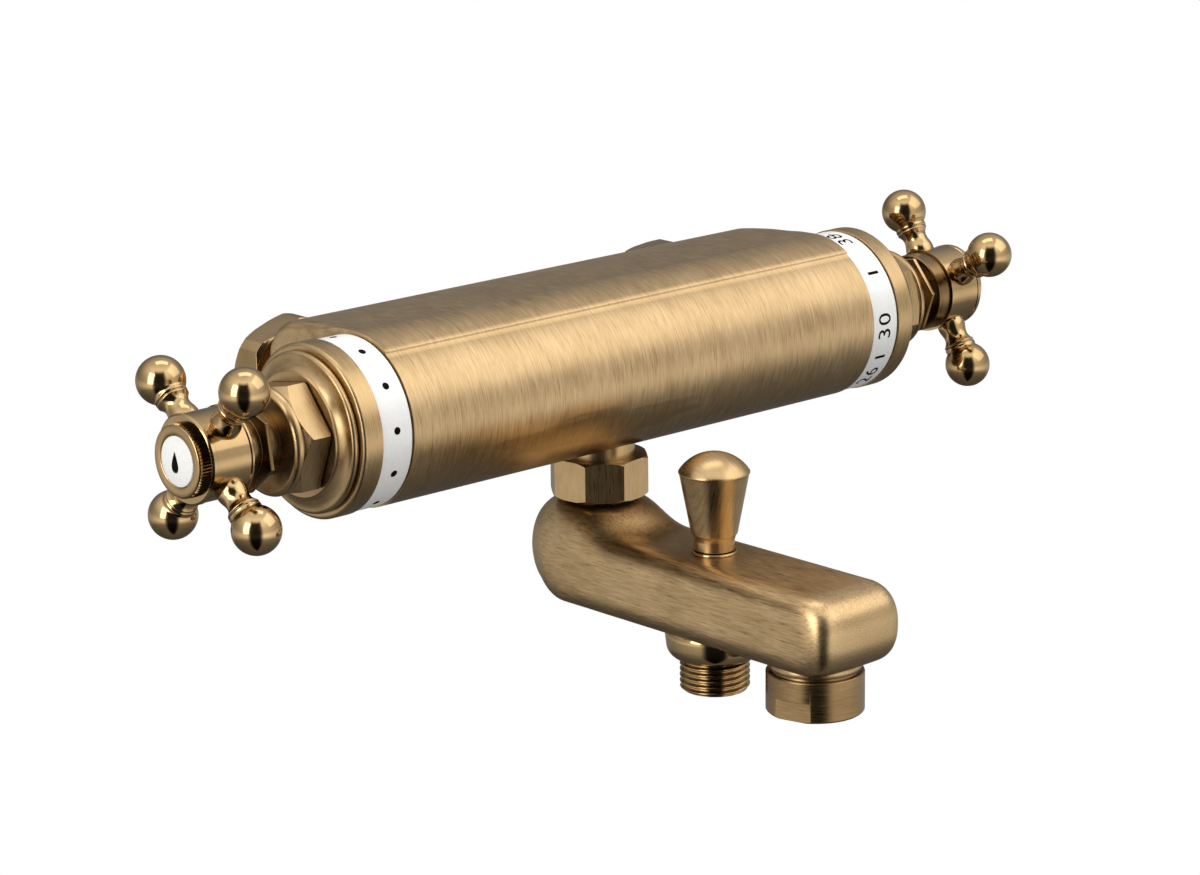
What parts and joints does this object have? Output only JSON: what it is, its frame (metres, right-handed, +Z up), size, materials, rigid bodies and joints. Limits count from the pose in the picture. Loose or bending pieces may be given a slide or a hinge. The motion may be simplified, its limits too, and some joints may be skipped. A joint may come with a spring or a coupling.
{
  "type": "wall mounted bath mixer",
  "caption": "Wall mounted bath mixer in aged bronze with cross handles, a swivel spout, a pull knob diverter and a threaded shower outlet.",
  "frame": {"origin": "midway between the two wall connections, on the plane where the union nuts meet the wall", "axes": "+X along the barrel to the numbered temperature end, +Y into the wall, +Z up"},
  "size_m": [0.3182, 0.1717, 0.1203],
  "materials": {
    "aged_bronze_brushed": "brushed satin",
    "aged_bronze_polished": "polished",
    "white_enamel": "gloss",
    "white_porcelain": "glazed",
    "brass": "turned",
    "steel": "plain",
    "ceramic": "lapped",
    "rubber": "matt",
    "plastic": "moulded",
    "copper": "plain"
  },
  "bodies": {
    "mixer": {"mixer_body": "aged_bronze_brushed", "flow_headwork": "brass", "flow_fixed_disc": "ceramic", "flow_disc_seal": "rubber", "mixing_sleeve": "plastic", "temperature_head": "brass", "outlet_nipple": "aged_bronze_polished", "spout_nut": "aged_bronze_polished", "hot_inlet_tail": "brass", "hot_washer": "rubber", "hot_gauze": "steel", "hot_check_valve": "plastic", "cold_inlet_tail": "brass", "cold_washer": "rubber", "cold_gauze": "steel", "cold_check_valve": "plastic"},
    "flow_control": {"flow_ring": "white_enamel", "flow_collar": "aged_bronze_polished", "flow_bonnet_nut": "aged_bronze_polished", "flow_gland": "aged_bronze_polished", "flow_handle_hub": "aged_bronze_polished", "flow_handle_arms": "aged_bronze_polished", "flow_handle_cap": "aged_bronze_polished", "flow_cap_disc": "white_porcelain", "flow_handle_screw": "steel", "flow_spindle": "brass", "flow_moving_disc": "ceramic"},
    "temperature_control": {"temperature_ring": "white_enamel", "temperature_collar": "aged_bronze_polished", "temperature_bonnet_nut": "aged_bronze_polished", "temperature_gland": "aged_bronze_polished", "temperature_handle_hub": "aged_bronze_polished", "temperature_handle_arms": "aged_bronze_polished", "temperature_handle_cap": "aged_bronze_polished", "temperature_cap_disc": "white_porcelain", "temperature_handle_screw": "steel", "temperature_spindle": "brass"},
    "mixing_element": {"drive_nut": "brass", "overload_spring": "steel", "element_pin": "brass", "wax_element": "copper", "mixing_shuttle": "plastic", "return_spring": "steel"},
    "spout": {"spout_body": "aged_bronze_brushed", "spout_tail": "brass", "spout_o_ring": "rubber", "diverter_bush": "aged_bronze_polished", "shower_nipple": "aged_bronze_polished", "aerator_shell": "aged_bronze_polished", "aerator_insert": "plastic"},
    "diverter": {"diverter_knob": "aged_bronze_polished", "diverter_rod": "steel", "diverter_piston": "brass", "diverter_seals": "rubber", "diverter_spring": "steel"},
    "hot_nut": {"hot_union_nut": "aged_bronze_polished"},
    "cold_nut": {"cold_union_nut": "aged_bronze_polished"},
    "hot_poppet": {"hot_check_poppet": "plastic"},
    "cold_poppet": {"cold_check_poppet": "plastic"}
  },
  "joints": [
    {"name": "flow_turn", "type": "hinge", "parent": "mixer", "child": "flow_control", "pos_m": [-0.148, -0.0595, 0], "axis": [-1, 0, 0], "range_deg": [0, 90]},
    {"name": "temperature_turn", "type": "hinge", "parent": "mixer", "child": "temperature_control", "pos_m": [0.148, -0.0595, 0], "axis": [1, 0, 0], "range_deg": [-140, 160]},
    {"name": "element_travel", "type": "slide", "parent": "mixer", "child": "mixing_element", "axis": [1, 0, 0], "range_m": [-0.0014, 0.0015]},
    {"name": "spout_swing", "type": "hinge", "parent": "mixer", "child": "spout", "pos_m": [0, -0.0595, -0.04], "axis": [0, 0, 1], "range_deg": [-45, 45]},
    {"name": "diverter_pull", "type": "slide", "parent": "spout", "child": "diverter", "axis": [0, 0, 1], "range_m": [0, 0.008], "stiffness_N_per_m": 150, "springref_m": -0.006, "deforming": ["diverter_spring"]},
    {"name": "hot_nut_spin", "type": "hinge", "parent": "mixer", "child": "hot_nut", "pos_m": [-0.075, -0.005, 0], "axis": [0, 1, 0], "continuous": true},
    {"name": "cold_nut_spin", "type": "hinge", "parent": "mixer", "child": "cold_nut", "pos_m": [0.075, -0.005, 0], "axis": [0, 1, 0], "continuous": true},
    {"name": "hot_poppet_lift", "type": "slide", "parent": "mixer", "child": "hot_poppet", "axis": [0, -1, 0], "range_m": [0, 0.003], "stiffness_N_per_m": 30, "springref_m": -0.002},
    {"name": "cold_poppet_lift", "type": "slide", "parent": "mixer", "child": "cold_poppet", "axis": [0, -1, 0], "range_m": [0, 0.003], "stiffness_N_per_m": 30, "springref_m": -0.002}
  ],
  "couplings": [
    {"joint": "element_travel", "follows": "temperature_turn", "m_per_rad": 0.00047746}
  ]
}
